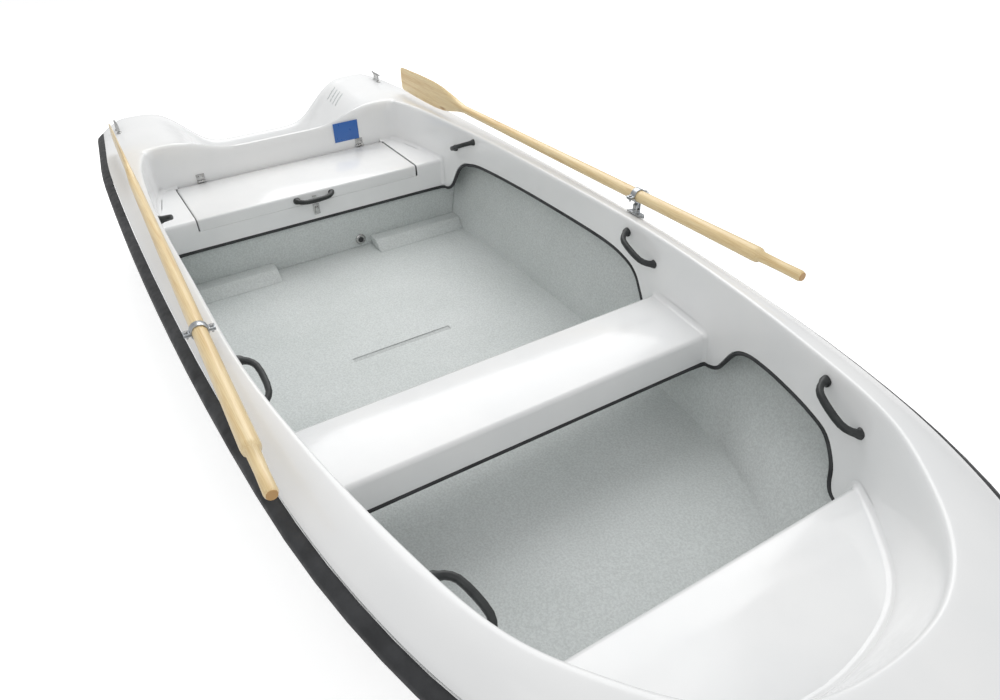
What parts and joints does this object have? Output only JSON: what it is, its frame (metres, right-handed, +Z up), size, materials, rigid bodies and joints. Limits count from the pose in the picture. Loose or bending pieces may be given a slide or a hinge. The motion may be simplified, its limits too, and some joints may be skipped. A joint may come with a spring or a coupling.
{
  "type": "rowing boat",
  "caption": "Open moulded rowing boat with hinged locker lid, thwart, fore seat, rubber fender, grab handles, cleats and a pair of oars stowed in swivelling clamp oarlocks.",
  "frame": {"origin": "on the ground under the middle of the boat, midway between the transom and the front of the fender at the stem", "axes": "+X towards the bow, +Y to port, +Z up"},
  "size_m": [4.0336, 1.567, 0.68],
  "materials": {
    "gelcoat": "glossy white gelcoat over glass fibre",
    "topcoat": "rough light grey topcoat over glass fibre",
    "rubber": "matt black extruded rubber",
    "black_plastic": "satin black moulded plastic",
    "pine": "varnished pine with knots",
    "galvanised": "galvanised, slightly dull",
    "stainless": "polished stainless steel",
    "blue_plate": "blank blue label plate"
  },
  "bodies": {
    "hull": {"hull_shell": "gelcoat", "deck_moulding": "gelcoat", "stern_seat": "gelcoat", "mid_thwart": "gelcoat", "fore_seat": "gelcoat", "locker_bulkhead": "topcoat", "floor_step_port": "topcoat", "floor_step_starboard": "topcoat", "gunwale_fender": "rubber", "trim_aft": "rubber", "trim_fore": "rubber", "hinge_wall_port": "stainless", "hinge_wall_starboard": "stainless", "latch_body": "stainless", "drain_plug": "stainless", "blank_plate": "blue_plate", "handle_stern_port": "black_plastic", "handle_stern_starboard": "black_plastic", "handle_mid_port": "black_plastic", "handle_mid_starboard": "black_plastic", "handle_fore_port": "black_plastic", "handle_fore_starboard": "black_plastic", "cleat_port": "stainless", "cleat_starboard": "stainless", "oarlock_socket_port": "galvanised", "oarlock_socket_starboard": "galvanised", "bow_eye": "stainless"},
    "locker_lid": {"locker_lid": "gelcoat", "handle_lid": "black_plastic", "latch_catch": "stainless", "hinge_lid_port": "stainless", "hinge_lid_starboard": "stainless"},
    "oarlock_port": {"oarlock_fork_port": "galvanised"},
    "oar_port": {"oar_port": "pine", "clamp_upper_port": "galvanised", "clamp_lower_port": "galvanised"},
    "oarlock_starboard": {"oarlock_fork_starboard": "galvanised"},
    "oar_starboard": {"oar_starboard": "pine", "clamp_upper_starboard": "galvanised", "clamp_lower_starboard": "galvanised"}
  },
  "joints": [
    {"name": "locker_lid_hinge", "type": "hinge", "parent": "hull", "child": "locker_lid", "pos_m": [-1.58775, 0, 0.3705], "axis": [0, -1, 0], "range_deg": [0, 90]},
    {"name": "oarlock_port_swing", "type": "hinge", "parent": "hull", "child": "oarlock_port", "pos_m": [0.03525, 0.72, 0.55], "axis": [0, 0, -1], "range_deg": [0, 130]},
    {"name": "oar_port_tilt", "type": "hinge", "parent": "oarlock_port", "child": "oar_port", "pos_m": [0.03525, 0.72, 0.584], "axis": [-0.0349, 0.9994, 0], "range_deg": [0, 6]},
    {"name": "oarlock_starboard_swing", "type": "hinge", "parent": "hull", "child": "oarlock_starboard", "pos_m": [0.03525, -0.72, 0.55], "axis": [0, 0, 1], "range_deg": [0, 130]},
    {"name": "oar_starboard_tilt", "type": "hinge", "parent": "oarlock_starboard", "child": "oar_starboard", "pos_m": [0.03525, -0.72, 0.584], "axis": [0.0349, 0.9994, 0], "range_deg": [0, 6]}
  ]
}
